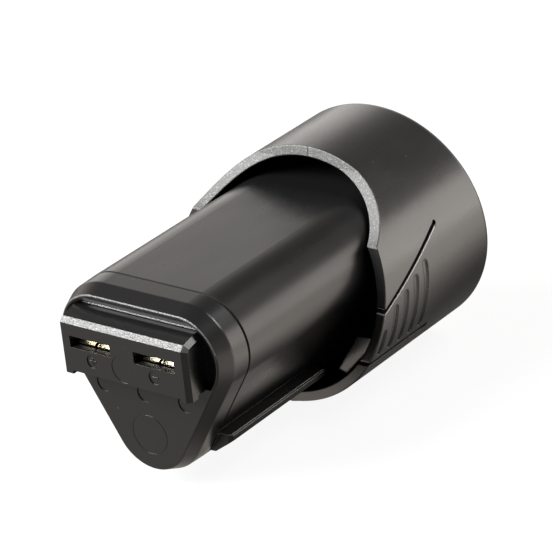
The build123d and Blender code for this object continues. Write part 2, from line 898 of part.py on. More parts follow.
def make_circuit_board():
    """Protection board behind the nose, with holes for the clips' tails."""
    section = stem_section(board_inset)
    for side in (-1, 1):
        section -= tail_section(side, tail_clearance)
    return across(section, board_rear_reach, board_front_reach)


def make_front_spacer():
    """Moulded frame that keeps the cells back and carries the board on three posts."""
    section = stem_section(stem_wall + spacer_fit) - top_notch()
    for cell in cells.values():
        section -= round_at(cell[0], cell[1], window_radius)
    spacer = across(section, spacer_rear_reach, spacer_front_reach)
    for x, z in post_places():
        spacer += across(round_at(x, z, post_radius), spacer_rear_reach, board_rear_reach)
    return spacer


def make_front_insulator():
    """Card between the front strips and the spacer."""
    section = stem_section(stem_wall + spacer_fit) - top_notch()
    inner_x = -cell_spread + strip_width / 2
    gap = tail_clearance
    section -= block_at(inner_x - lead_upright_thickness - gap, upper_cell_z - lead_width / 2 - gap,
                        inner_x + gap, upper_cell_z + lead_width / 2 + gap)
    return across(section, insulator_reach, spacer_rear_reach)


def make_rear_cushion():
    """Foam pad between the rear strips and the stem's end wall."""
    return across(stem_section(stem_wall + spacer_fit), stem_end_reach, cushion_reach)


def make_thermistor():
    """Sensor bead in the valley between the upper cells, with two straight legs."""
    reach = cell_radius + bead_radius + bead_gap
    z = upper_cell_z + math.sqrt(reach ** 2 - cell_spread ** 2)
    front = cell_front_reach - bead_setback
    sensor = across(round_at(0, z, bead_radius), front - bead_length, front)
    sensor = fillet(sensor.edges().group_by(Axis.Y)[-1], bead_radius / 2)
    for side in (-1, 1):
        sensor += across(round_at(side * leg_spread, z, leg_radius), front - leg_radius, board_rear_reach)
    return sensor


# Write every node

black = (0.03, 0.03, 0.032)
nickel = (0.75, 0.72, 0.66)
steel = (0.6, 0.6, 0.62)
sleeve_green = (0.1, 0.35, 0.3)
white = (0.9, 0.9, 0.88)
board_green = (0.05, 0.3, 0.12)

skirt_wall = skirt()
right_tab = make_right_tab(skirt_wall)

write(make_stem_housing(), "stem_housing", black)
write(make_nose_cover(), "nose_cover", black)
write(make_base_cap(skirt_wall), "base_cap", black)
write(right_tab, "right_release_tab", black)
write(mirror(right_tab, Plane.YZ), "left_release_tab", black)
write(make_cap_screws(), "cap_screws", steel)
for name, cell in cells.items():
    write(make_can(cell), f"{name}_can", steel)
    write(make_electrode_roll(cell), f"{name}_electrode_roll", steel)
    write(make_positive_cap(cell), f"{name}_positive_cap", steel)
    write(make_washer(cell), f"{name}_washer", white)
    write(make_sleeve(cell), f"{name}_sleeve", sleeve_green)
write(make_front_link(), "front_link_strip", nickel)
write(make_rear_link(), "rear_link_strip", nickel)
write(make_positive_lead(), "positive_lead_strip", nickel)
write(make_negative_lead(), "negative_lead_strip", nickel)
write(make_clip(-1), "positive_terminal_clip", nickel)
write(make_clip(1), "negative_terminal_clip", nickel)
write(make_circuit_board(), "circuit_board", board_green)
write(make_front_spacer(), "front_spacer", white)
write(make_front_insulator(), "front_insulator", white)
write(make_rear_cushion(), "rear_cushion", white)
write(make_thermistor(), "thermistor", black)

# Hinge axes of the tabs, for the record
low_z = axis_z - tab_lower_drop
high_z = axis_z + tab_rear_rise
low_point = Vector(cap_x(low_z, cap_wall / 2), along_y(hinge_reach(low_z)), low_z)
high_point = Vector(cap_x(high_z, cap_wall / 2), along_y(hinge_reach(high_z)), high_z)
hinge_axis = (high_point - low_point).normalized()
print("right hinge at", low_point, "along", hinge_axis)
print("stem top", stem_top_z, "boss places", boss_places())
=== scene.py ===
import logging
import math
from dataclasses import dataclass
from enum import Enum

import bmesh
import bpy
from mathutils import Matrix, Vector


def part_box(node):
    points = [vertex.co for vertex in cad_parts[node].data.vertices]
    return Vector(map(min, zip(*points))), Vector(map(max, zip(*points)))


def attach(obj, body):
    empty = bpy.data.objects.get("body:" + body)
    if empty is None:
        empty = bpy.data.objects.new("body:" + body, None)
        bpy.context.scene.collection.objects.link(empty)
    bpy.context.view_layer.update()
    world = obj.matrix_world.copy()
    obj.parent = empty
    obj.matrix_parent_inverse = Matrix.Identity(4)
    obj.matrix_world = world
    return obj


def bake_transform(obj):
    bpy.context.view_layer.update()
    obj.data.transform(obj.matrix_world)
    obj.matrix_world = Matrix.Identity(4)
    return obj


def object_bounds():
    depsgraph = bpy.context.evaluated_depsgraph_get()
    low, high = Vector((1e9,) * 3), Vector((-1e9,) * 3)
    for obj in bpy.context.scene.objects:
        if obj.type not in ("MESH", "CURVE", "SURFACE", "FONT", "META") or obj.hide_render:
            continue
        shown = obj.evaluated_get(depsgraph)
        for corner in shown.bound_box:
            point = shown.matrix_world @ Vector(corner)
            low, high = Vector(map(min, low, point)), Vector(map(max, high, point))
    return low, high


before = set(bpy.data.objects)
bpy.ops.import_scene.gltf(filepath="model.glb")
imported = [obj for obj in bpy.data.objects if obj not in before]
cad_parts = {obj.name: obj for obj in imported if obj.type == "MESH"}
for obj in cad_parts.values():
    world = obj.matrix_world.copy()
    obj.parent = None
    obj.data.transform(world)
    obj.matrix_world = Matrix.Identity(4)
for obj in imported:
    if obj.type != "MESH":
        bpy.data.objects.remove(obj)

Socket = bpy.types.NodeSocket
Sockets = bpy.types.bpy_prop_collection
Span = tuple[float, float]
Triple = tuple[float, float, float]
Colour = Triple

# Box of the CAD nodes, read before any piece is added
CAD_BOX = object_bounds()

# A millimetre in metres, which is the frame's unit
MM = 0.001

# The record's names for the body and the slots that are passed along with the added pieces
PACK = "pack_body"
SHELL_SLOT = "gloss_black"
METAL_SLOT = "nickel"

FULL_SPAN: Span = (0.0, 1.0)
WHITE: Colour = (1.0, 1.0, 1.0)
WARM_WHITE: Colour = (1.0, 0.92, 0.84)

# Height in millimetres that is above the whole pack, so that what starts there is left out
ABOVE_ALL = 1000.0

# Rays that each rounded edge is worked out with
BEVEL_SAMPLES = 6

# Watts that a square metre of lamp needs for a radiance of 1
LAMP_WATTS = 4

log = logging.getLogger("battery_pack")


class Maths(Enum):
    """Sums that a shader's Math node can do."""

    ADD = "ADD"
    SUBTRACT = "SUBTRACT"
    MULTIPLY = "MULTIPLY"
    GREATER = "GREATER_THAN"
    LESS = "LESS_THAN"
    MAXIMUM = "MAXIMUM"
    ABSOLUTE = "ABSOLUTE"


class Blend(Enum):
    """What a Mix node mixes, with the numbers of its first input and of its output."""

    VALUE = ("FLOAT", 2, 0)
    DIRECTION = ("VECTOR", 4, 1)
    COLOUR = ("RGBA", 6, 2)


class Side(Enum):
    """The two sides of the pack, as a sign along X."""

    RIGHT = 1
    LEFT = -1

    @property
    def word(self) -> str:
        """The side's word in the names of pieces."""
        return self.name.lower()

    @property
    def body(self) -> str:
        """Name of the release tab's body on this side."""
        return f"{self.word}_tab"


def metres(*lengths: float) -> Vector:
    """Point or size in metres, from lengths in millimetres."""
    return Vector(lengths) * MM


def opaque(colour: Colour) -> tuple[float, float, float, float]:
    """Colour with full cover, as Blender's sockets take it."""
    return (*colour, 1.0)


@dataclass(frozen=True)
class PackSizes:
    """Main places of the pack, read from the frame, in millimetres."""

    half_width: float
    height: float
    front_y: float
    rear_y: float

    @classmethod
    def from_frame(cls) -> "PackSizes":
        """Read the sizes from the box of the whole pack."""
        low, high = (Vector(corner) / MM for corner in CAD_BOX)
        return cls(half_width=high.x, height=high.z, front_y=low.y, rear_y=high.y)

    @property
    def axis_z(self) -> float:
        """Height of the cap's middle line."""
        return self.height / 2

    def y_at(self, reach: float) -> float:
        """Y of a place a distance forward of the rear face."""
        return self.rear_y - reach

    def cap_x(self, z: float, inset: float = 0.0) -> float:
        """X of the cap's right wall.

        Args:
            z: Height above the floor.
            inset: Depth below the outer surface.

        Returns:
            Distance from the middle plane.
        """
        share = (z - self.axis_z) / (self.axis_z - inset)
        return (self.half_width - inset) * math.sqrt(1 - share * share)


class ShaderBoard:
    """Adds nodes to one shader tree and joins them."""

    def __init__(self, tree: bpy.types.NodeTree) -> None:
        """Keep the tree that nodes are added to."""
        self.tree = tree

    @classmethod
    def cleared(cls, owner: bpy.types.Material | bpy.types.World) -> "ShaderBoard":
        """Empty the shader tree of a material or a world.

        Args:
            owner: The material or world.

        Returns:
            A board on its tree.
        """
        owner.use_nodes = True
        owner.node_tree.nodes.clear()
        return cls(owner.node_tree)

    def add(self, kind: str, values: dict | None = None, **settings: object) -> bpy.types.Node:
        """Add a node.

        Args:
            kind: Node type, without its ShaderNode prefix.
            values: Input name or number to a value or a socket.
            settings: Attributes of the node.

        Returns:
            The new node.
        """
        node = self.tree.nodes.new(f"ShaderNode{kind}")
        for name, value in settings.items():
            setattr(node, name, value)
        for name, value in (values or {}).items():
            self.feed(value, node.inputs[name])
        return node

    def feed(self, value: object, target: Socket) -> None:
        """Join a socket to an input, or set the input's own value.

        Args:
            value: Value or socket.
            target: Input that takes it.
        """
        if isinstance(value, Socket):
            self.tree.links.new(value, target)
        else:
            target.default_value = value

    def maths(self, sum_kind: Maths, first: object, second: object = 0.0) -> Socket:
        """Result of a sum.

        Args:
            sum_kind: Which sum.
            first: Value or socket.
            second: Value or socket.

        Returns:
            The result's socket.
        """
        node = self.add("Math", {0: first, 1: second}, operation=sum_kind.value)
        return node.outputs[0]

    def product(self, first: Socket, *others: object) -> Socket:
        """Multiply in order.

        Args:
            first: Socket to start from.
            others: Values or sockets to multiply it by.

        Returns:
            The result's socket.
        """
        result = first
        for other in others:
            result = self.maths(Maths.MULTIPLY, result, other)
        return result

    def outside(self, mask: Socket) -> Socket:
        """Mask of all that another mask leaves out."""
        return self.maths(Maths.SUBTRACT, 1.0, mask)

    def spread(self, value: Socket, given: Span, wanted: Span = FULL_SPAN) -> Socket:
        """Map a value smoothly from one range to another.

        Args:
            value: Socket to map.
            given: Values that give the ends of the result.
            wanted: The result's two ends.

        Returns:
            The mapped value's socket.
        """
        node = self.add("MapRange", {"Value": value, "From Min": given[0], "From Max": given[1],
                                     "To Min": wanted[0], "To Max": wanted[1]},
                        interpolation_type="SMOOTHSTEP")
        return node.outputs["Result"]

    def mix(self, kind: Blend, share: object, first: object, second: object) -> Socket:
        """Mix two values, directions or colours.

        Args:
            kind: What is mixed.
            share: Share of the second one, as a value or a socket.
            first: Result at a share of 0, as a value or a socket.
            second: Result at a share of 1, as a value or a socket.

        Returns:
            The result's socket.
        """
        data_type, first_input, output = kind.value
        node = self.add("Mix", {0: share, first_input: first, first_input + 1: second}, data_type=data_type)
        return node.outputs[output]

    def place(self, stretch: Triple = (1.0, 1.0, 1.0)) -> Socket:
        """Place on the pack in millimetres.

        Args:
            stretch: Scale along each axis.

        Returns:
            The place's socket.
        """
        coordinates = self.add("TexCoord").outputs["Object"]
        scale = tuple(part / MM for part in stretch)
        return self.add("Mapping", {"Vector": coordinates, "Scale": scale}).outputs["Vector"]

    def axes(self, vector: Socket) -> Sockets:
        """X, Y and Z of a place or a direction."""
        return self.add("SeparateXYZ", {"Vector": vector}).outputs

    def effect(self, group: "SurfaceEffect", **values: object) -> Sockets:
        """Add a shared effect.

        Args:
            group: The effect.
            values: Name of an input, with _ for a space, to a value or a socket.

        Returns:
            The effect's outputs.
        """
        node = self.tree.nodes.new("ShaderNodeGroup")
        node.node_tree = group.tree()
        for name, value in values.items():
            self.feed(value, node.inputs[name.replace("_", " ")])
        return node.outputs

    def bump(self, height: Socket, shader: bpy.types.Node, normal: Socket | None = None) -> None:
        """Raise a shader's surface.

        Args:
            height: Height in millimetres.
            shader: Shader whose normal is turned.
            normal: Direction of the surface below, where it isn't the mesh's own.
        """
        node = self.add("Bump", {"Height": height, "Strength": 1.0, "Distance": MM})
        if normal is not None:
            self.feed(normal, node.inputs["Normal"])
        self.feed(node.outputs["Normal"], shader.inputs["Normal"])


@dataclass(frozen=True)
class SurfaceEffect:
    """Base of the effects that materials share, each one a shader node group."""

    title: str

    def tree(self) -> bpy.types.NodeTree:
        """Find the group's tree, or build it on first use.

        Returns:
            The tree.
        """
        found = bpy.data.node_groups.get(self.title)
        if found:
            return found
        tree = bpy.data.node_groups.new(self.title, "ShaderNodeTree")
        self.draw(ShaderBoard(tree))
        return tree

    def draw(self, board: ShaderBoard) -> None:
        """Fill the tree. Each effect has its own."""
        raise NotImplementedError

    @staticmethod
    def values_in(board: ShaderBoard, **starts: float) -> Sockets:
        """Add the group's inputs.

        Args:
            board: Board of the group's tree.
            starts: Name of an input, with _ for a space, to its starting value.

        Returns:
            The sockets that the inputs arrive at.
        """
        for name, start in starts.items():
            socket = board.tree.interface.new_socket(name.replace("_", " "), in_out="INPUT",
                                                     socket_type="NodeSocketFloat")
            socket.default_value = start
        return board.tree.nodes.new("NodeGroupInput").outputs

    @staticmethod
    def values_out(board: ShaderBoard, **results: Socket) -> None:
        """Add the group's outputs and feed them.

        Args:
            board: Board of the group's tree.
            results: Name of an output to what feeds it.
        """
        for name in results:
            board.tree.interface.new_socket(name, in_out="OUTPUT", socket_type="NodeSocketFloat")
        given_out = board.tree.nodes.new("NodeGroupOutput")
        for name, value in results.items():
            board.feed(value, given_out.inputs[name])


@dataclass(frozen=True)
class SparkGrain(SurfaceEffect):
    """Fine grain that spark erosion leaves on a mould, as a height and a mask of its peaks."""

    title: str = "Spark Grain"
    fine_detail: float = 2.0
    fine_roughness: float = 0.6
    coarse_detail: float = 1.0
    coarse_over_fine: float = 0.35
    coarse_share: float = 0.3
    peak_span: Span = (0.5, 0.68)

    def draw(self, board: ShaderBoard) -> None:
        """Fill the tree with two sizes of noise.

        Args:
            board: Board of the group's tree.
        """
        given = self.values_in(board, Grain=1.0)
        place = board.place()
        fine = board.add("TexNoise", {"Vector": place, "Scale": given["Grain"], "Detail": self.fine_detail,
                                      "Roughness": self.fine_roughness}).outputs["Fac"]
        coarse_scale = board.product(given["Grain"], self.coarse_over_fine)
        coarse = board.add("TexNoise", {"Vector": place, "Scale": coarse_scale,
                                        "Detail": self.coarse_detail}).outputs["Fac"]
        height = board.mix(Blend.VALUE, self.coarse_share, fine, coarse)
        self.values_out(board, Height=height, Peaks=board.spread(fine, self.peak_span))


@dataclass(frozen=True)
class DrawStreaks(SurfaceEffect):
    """Faint lines that run along the pack, from polishing and from sliding in and out."""

    title: str = "Draw Streaks"
    line_stretch: Triple = (1.0, 0.02, 1.0)
    line_detail: float = 3.0
    line_roughness: float = 0.7
    cloud_stretch: Triple = (0.12, 0.05, 0.12)
    cloud_scale: float = 1.0

    def draw(self, board: ShaderBoard) -> None:
        """Fill the tree with noise stretched along Y.

        Args:
            board: Board of the group's tree.
        """
        given = self.values_in(board, Fineness=2.0)
        lines = board.add("TexNoise", {"Vector": board.place(self.line_stretch), "Scale": given["Fineness"],
                                       "Detail": self.line_detail, "Roughness": self.line_roughness})
        cloud = board.add("TexNoise", {"Vector": board.place(self.cloud_stretch), "Scale": self.cloud_scale})
        self.values_out(board, Lines=lines.outputs["Fac"], Cloud=cloud.outputs["Fac"])


@dataclass(frozen=True)
class DustSpecks(SurfaceEffect):
    """Sparse specks of dust, as a mask."""

    title: str = "Dust Specks"
    cell_scale: float = 0.8
    speck_span: Span = (0.11, 0.05)

    def draw(self, board: ShaderBoard) -> None:
        """Fill the tree with small cells, few of which are kept.

        Args:
            board: Board of the group's tree.
        """
        given = self.values_in(board, Amount=0.06)
        cells = board.add("TexVoronoi", {"Vector": board.place(), "Scale": self.cell_scale}).outputs
        speck = board.spread(cells["Distance"], self.speck_span)
        chance = board.add("SeparateColor", {"Color": cells["Color"]}).outputs[0]
        kept = board.maths(Maths.LESS, chance, given["Amount"])
        self.values_out(board, Specks=board.product(speck, kept))


@dataclass(frozen=True)
class FacingFront(SurfaceEffect):
    """Masks of the faces that look forward, of the steeper ones and of those that also look up."""

    title: str = "Facing Front"
    front_span: Span = (-0.12, -0.35)
    steep_span: Span = (-0.42, -0.55)
    raised_span: Span = (0.08, 0.2)

    def draw(self, board: ShaderBoard) -> None:
        """Fill the tree with steps on the surface's own direction.

        Args:
            board: Board of the group's tree.
        """
        way = board.axes(board.add("NewGeometry").outputs["Normal"])
        steep = board.spread(way["Y"], self.steep_span)
        raised = board.product(steep, board.spread(way["Z"], self.raised_span))
        self.values_out(board, Front=board.spread(way["Y"], self.front_span), Steep=steep, Raised=raised)


@dataclass(frozen=True)
class MouldParting(SurfaceEffect):
    """Line where the two halves of a mould meet, on top of the pack."""

    title: str = "Mould Parting"

    def draw(self, board: ShaderBoard) -> None:
        """Fill the tree with a narrow ridge on the middle plane.

        Args:
            board: Board of the group's tree.
        """
        given = self.values_in(board, Half_Width=0.09, Above=40.0)
        place = board.axes(board.place())
        near = board.maths(Maths.LESS, board.maths(Maths.ABSOLUTE, place["X"]), given["Half Width"])
        high = board.maths(Maths.GREATER, place["Z"], given["Above"])
        self.values_out(board, Ridge=board.product(near, high))


@dataclass(frozen=True)
class ClearOfLine(SurfaceEffect):
    """Mask that is 0 along a leaning line over the pack's side, and 1 away from it."""

    title: str = "Clear Of Line"
    clear_span: Span = (1.0, 1.8)

    def draw(self, board: ShaderBoard) -> None:
        """Fill the tree with the distance from the leaning line.

        Args:
            board: Board of the group's tree.
        """
        given = self.values_in(board, Lean=0.156, Line=21.6)
        place = board.axes(board.place())
        upright = board.maths(Maths.SUBTRACT, place["Y"], board.product(place["Z"], given["Lean"]))
        off = board.maths(Maths.ABSOLUTE, board.maths(Maths.SUBTRACT, upright, given["Line"]))
        self.values_out(board, Clear=board.spread(off, self.clear_span))


@dataclass(frozen=True)
class StationBand(SurfaceEffect):
    """Mask of a thin slice across the pack, at one place along Y."""

    title: str = "Station Band"

    def draw(self, board: ShaderBoard) -> None:
        """Fill the tree with the distance from the slice's middle.

        Args:
            board: Board of the group's tree.
        """
        given = self.values_in(board, Middle=0.0, Half_Width=0.3)
        place = board.axes(board.place())
        off = board.maths(Maths.ABSOLUTE, board.maths(Maths.SUBTRACT, place["Y"], given["Middle"]))
        self.values_out(board, Inside=board.maths(Maths.LESS, off, given["Half Width"]))


@dataclass(frozen=True)
class AboveLine(SurfaceEffect):
    """Mask of all that lies above one height."""

    title: str = "Above Line"

    def draw(self, board: ShaderBoard) -> None:
        """Fill the tree with a step on the place's height.

        Args:
            board: Board of the group's tree.
        """
        given = self.values_in(board, Line=0.0)
        place = board.axes(board.place())
        self.values_out(board, Above=board.maths(Maths.GREATER, place["Z"], given["Line"]))


@dataclass(frozen=True)
class UpperEdge(SurfaceEffect):
    """Mask of the upper edges for a painted highlight, where the rounded surface looks further up than the
    flat one.
    """

    title: str = "Upper Edge"
    lift_span: Span = (0.03, 0.1)

    def draw(self, board: ShaderBoard) -> None:
        """Fill the tree with the lift of the rounded surface's direction over the flat one's.

        Args:
            board: Board of the group's tree.
        """
        given = self.values_in(board, Radius=0.0002)
        rounded = board.axes(board.add("Bevel", {"Radius": given["Radius"]},
                                       samples=BEVEL_SAMPLES).outputs["Normal"])
        flat = board.axes(board.add("NewGeometry").outputs["Normal"])
        lift = board.maths(Maths.SUBTRACT, rounded["Z"], flat["Z"])
        self.values_out(board, Edge=board.spread(lift, self.lift_span))


SPARK_GRAIN = SparkGrain()
DRAW_STREAKS = DrawStreaks()
DUST_SPECKS = DustSpecks()
FACING_FRONT = FacingFront()
MOULD_PARTING = MouldParting()
CLEAR_OF_LINE = ClearOfLine()
STATION_BAND = StationBand()
ABOVE_LINE = AboveLine()
UPPER_EDGE = UpperEdge()


@dataclass(frozen=True)
class Finish:
    """Base of the finishes. Each one builds its material once."""

    title: str

    def material(self) -> bpy.types.Material:
        """Find the finish's material, or build it on first use.

        Returns:
            The material.
        """
        found = bpy.data.materials.get(self.title)
        if found:
            return found
        made = bpy.data.materials.new(self.title)
        board = ShaderBoard.cleared(made)
        shader = board.add("BsdfPrincipled")
        self.draw(board, shader)
        output = board.add("OutputMaterial")
        board.feed(shader.outputs["BSDF"], output.inputs["Surface"])
        return made

    def draw(self, board: ShaderBoard, shader: bpy.types.Node) -> None:
        """Feed the shader's inputs. Each finish has its own."""
        raise NotImplementedError


@dataclass(frozen=True)
class EdgeHighlight:
    """Painted highlight: a bright line painted along an upper edge, where its rounding catches the light.
    Lengths are in millimetres.
    """

    share: float
    width: float

    def along(self, board: ShaderBoard) -> Socket:
        """Mask of the stretch that takes the painted highlight. Each kind has its own."""
        raise NotImplementedError

    def mask(self, board: ShaderBoard) -> Socket:
        """Mask of the painted highlight line, up to its share."""
        edge = board.effect(UPPER_EDGE, Radius=self.width * MM)["Edge"]
        return board.product(edge, self.along(board), self.share)


@dataclass(frozen=True)
class RailHighlight(EdgeHighlight):
    """Painted highlight along the guide rails' upper edges, low on the stem."""

    share: float = 0.8
    width: float = 0.28
    below: float = 10.5

    def along(self, board: ShaderBoard) -> Socket:
        """Mask of all that lies no higher than the rails."""
        return board.outside(board.effect(ABOVE_LINE, Line=self.below)["Above"])


@dataclass(frozen=True)
class SlotHighlight(EdgeHighlight):
    """Painted highlight along a release tab's upper slot."""

    share: float = 0.95
    width: float = 0.5
    lean: float = 2.0877
    line: float = -42.27

    def along(self, board: ShaderBoard) -> Socket:
        """Mask of a strip along the leaning slot."""
        return board.outside(board.effect(CLEAR_OF_LINE, Lean=self.lean, Line=self.line)["Clear"])


@dataclass(frozen=True)
class MouldingMasks:
    """Masks of the parts of a moulding that look different from its sides."""

    front: Socket
    raised: Socket
    recess: Socket
    seam: Socket
    parting: Socket


@dataclass(frozen=True)
class BlackMoulding(Finish):
    """Semi-gloss black moulded plastic, polished along its sides and spark-grained where it faces forward.

    Places, widths and depths are in millimetres. The recess is the edge round the terminal block's floor, and
    the seam is the joint between nose and stem. The grain's peaks on faces that look up carry a painted
    highlight.
    """

    title: str = "Black Moulding"
    base: Colour = (0.006, 0.0058, 0.006)
    specular: float = 0.5
    polish: float = 0.3
    cloud_span: Span = (0.3, 0.7)
    cloud_below: float = 0.02
    cloud_above: float = 0.03
    front_roughness: float = 0.36
    recess_polish: float = 0.12
    recess_y: float = -37.5
    recess_half_width: float = 0.1
    seam_roughness: float = 0.95
    seam_y: float = -31.1
    seam_half_width: float = 0.6
    dusty: Colour = (0.12, 0.12, 0.12)
    dust: float = 0.03
    # Colour and shares of the painted highlight on the grain's peaks, and the height above which forward
    # faces get it, along with their grain and roughness
    painted_highlight: Colour = (0.2, 0.2, 0.195)
    highlight_share: float = 0.5
    highlight_least: float = 0.4
    front_above: float = 0.0
    # Painted highlight line along upper edges, where a moulding has one
    edge_highlight: EdgeHighlight | None = None
    grain_scale: float = 2.8
    grain_depth: float = 0.2
    streak_fineness: float = 2.4
    streak_depth: float = 0.006
    parting_above: float = ABOVE_ALL
    parting_half_width: float = 0.1
    parting_rise: float = 0.05
    edge_round: float = 0.06
    hinge_lean: float = 0.156
    hinge_line: float = 21.6

    def draw(self, board: ShaderBoard, shader: bpy.types.Node) -> None:
        """Feed colour, roughness, shine and bump.

        Args:
            board: Board of the material's tree.
            shader: The material's shader.
        """
        masks = self.masks(board)
        grain = board.effect(SPARK_GRAIN, Grain=self.grain_scale)
        streaks = board.effect(DRAW_STREAKS, Fineness=self.streak_fineness)
        board.feed(self.colour(board, masks, grain["Peaks"]), shader.inputs["Base Color"])
        board.feed(self.roughness(board, masks, streaks["Cloud"]), shader.inputs["Roughness"])
        shader.inputs["Specular IOR Level"].default_value = self.specular
        height = self.relief(board, masks, grain["Height"], streaks["Lines"])
        board.bump(height, shader, self.rounded_normal(board))

    def masks(self, board: ShaderBoard) -> MouldingMasks:
        """Pick out the parts of the moulding.

        Args:
            board: Board of the material's tree.

        Returns:
            Their masks.
        """
        facing = board.effect(FACING_FRONT)
        high = board.effect(ABOVE_LINE, Line=self.front_above)["Above"]
        seam = board.effect(STATION_BAND, Middle=self.seam_y, Half_Width=self.seam_half_width)["Inside"]
        recess = board.effect(STATION_BAND, Middle=self.recess_y, Half_Width=self.recess_half_width)["Inside"]
        parting = board.effect(MOULD_PARTING, Half_Width=self.parting_half_width, Above=self.parting_above)
        return MouldingMasks(front=board.product(facing["Front"], high),
                             raised=board.product(facing["Raised"], high, board.outside(seam)),
                             recess=board.product(recess, facing["Steep"]),
                             seam=board.product(seam, facing["Front"]),
                             parting=parting["Ridge"])

    def colour(self, board: ShaderBoard, masks: MouldingMasks, peaks: Socket) -> Socket:
        """Black with dust, with a painted highlight on the grain's peaks and along upper edges.

        Args:
            board: Board of the material's tree.
            masks: Parts of the moulding.
            peaks: Mask of the grain's peaks.

        Returns:
            The colour's socket.
        """
        specks = board.effect(DUST_SPECKS, Amount=self.dust)["Specks"]
        plain = board.mix(Blend.COLOUR, specks, opaque(self.base), opaque(self.dusty))
        # Painted highlight: the grain's peaks on faces that look forward and up are lightened where the key
        # light falls, and so are upper edges
        peaks = board.spread(peaks, FULL_SPAN, (self.highlight_least, 1.0))
        painted_highlight = board.product(peaks, masks.raised, board.outside(masks.parting), self.highlight_share)
        if self.edge_highlight:
            painted_highlight = board.maths(Maths.MAXIMUM, painted_highlight, self.edge_highlight.mask(board))
        return board.mix(Blend.COLOUR, painted_highlight, plain, opaque(self.painted_highlight))

    def roughness(self, board: ShaderBoard, masks: MouldingMasks, cloud: Socket) -> Socket:
        """Polished sides with a faint cloud, duller front, bright recess edge and dull seam.

        Args:
            board: Board of the material's tree.
            masks: Parts of the moulding.
            cloud: Slow noise over the surface.

        Returns:
            The roughness's socket.
        """
        ends = (self.polish - self.cloud_below, self.polish + self.cloud_above)
        rough = board.spread(cloud, self.cloud_span, ends)
        rough = board.mix(Blend.VALUE, masks.front, rough, self.front_roughness)
        rough = board.mix(Blend.VALUE, masks.recess, rough, self.recess_polish)
        return board.mix(Blend.VALUE, masks.seam, rough, self.seam_roughness)

    def relief(self, board: ShaderBoard, masks: MouldingMasks, grain: Socket, lines: Socket) -> Socket:
        """Height of the grain, the fine lines and the mould's parting.

        Args:
            board: Board of the material's tree.
            masks: Parts of the moulding.
            grain: The grain's own height.
            lines: Fine lines along the pack.

        Returns:
            The height's socket.
        """
        grained = board.product(grain, masks.raised, self.grain_depth)
        lined = board.maths(Maths.ADD, grained, board.product(lines, self.streak_depth))
        return board.maths(Maths.ADD, lined, board.product(masks.parting, self.parting_rise))

    def rounded_normal(self, board: ShaderBoard) -> Socket:
        """Direction of the surface with its edges rounded, but not along the hinge line.

        Args:
            board: Board of the material's tree.

        Returns:
            The direction's socket.
        """
        rounded = board.add("Bevel", {"Radius": self.edge_round * MM}, samples=BEVEL_SAMPLES)
        flat = board.add("NewGeometry")
        clear = board.effect(CLEAR_OF_LINE, Lean=self.hinge_lean, Line=self.hinge_line)["Clear"]
        return board.mix(Blend.DIRECTION, clear, flat.outputs["Normal"], rounded.outputs["Normal"])


@dataclass(frozen=True)
class BrightMetal(Finish):
    """Metal with fine rolling lines and a faint tarnish."""

    title: str = "Bright Nickel"
    base: Colour = (0.9, 0.86, 0.76)
    tarnish: Colour = (0.76, 0.7, 0.58)
    tarnish_span: Span = (0.35, 0.75)
    roughness: float = 0.24
    line_span: Span = (0.3, 0.7)
    line_smoother: float = 0.04
    line_rougher: float = 0.08
    line_fineness: float = 6.0
    line_depth: float = 0.004

    def draw(self, board: ShaderBoard, shader: bpy.types.Node) -> None:
        """Feed colour, roughness, metal and bump.

        Args:
            board: Board of the material's tree.
            shader: The material's shader.
        """
        streaks = board.effect(DRAW_STREAKS, Fineness=self.line_fineness)
        cloud = board.spread(streaks["Cloud"], self.tarnish_span)
        colour = board.mix(Blend.COLOUR, cloud, opaque(self.base), opaque(self.tarnish))
        board.feed(colour, shader.inputs["Base Color"])
        shader.inputs["Metallic"].default_value = 1.0
        rough = board.spread(streaks["Lines"], self.line_span,
                             (self.roughness - self.line_smoother, self.roughness + self.line_rougher))
        board.feed(rough, shader.inputs["Roughness"])
        board.bump(board.product(streaks["Lines"], self.line_depth), shader)


@dataclass(frozen=True)
class DullSolid(Finish):
    """Plain non-metal with a mottled colour and a fine surface."""

    title: str = "Fibre Card"
    base: Colour = (0.62, 0.6, 0.52)
    fleck: Colour = (0.48, 0.46, 0.4)
    roughness: float = 0.75
    fleck_rougher: float = 0.08
    grain_scale: float = 3.0
    grain_depth: float = 0.03
    coat: float = 0.0

    def draw(self, board: ShaderBoard, shader: bpy.types.Node) -> None:
        """Feed colour, roughness, coat and bump.

        Args:
            board: Board of the material's tree.
            shader: The material's shader.
        """
        grain = board.effect(SPARK_GRAIN, Grain=self.grain_scale)
        colour = board.mix(Blend.COLOUR, grain["Peaks"], opaque(self.base), opaque(self.fleck))
        board.feed(colour, shader.inputs["Base Color"])
        ends = (self.roughness, self.roughness + self.fleck_rougher)
        board.feed(board.spread(grain["Peaks"], FULL_SPAN, ends), shader.inputs["Roughness"])
        shader.inputs["Coat Weight"].default_value = self.coat
        board.bump(board.product(grain["Height"], self.grain_depth), shader)


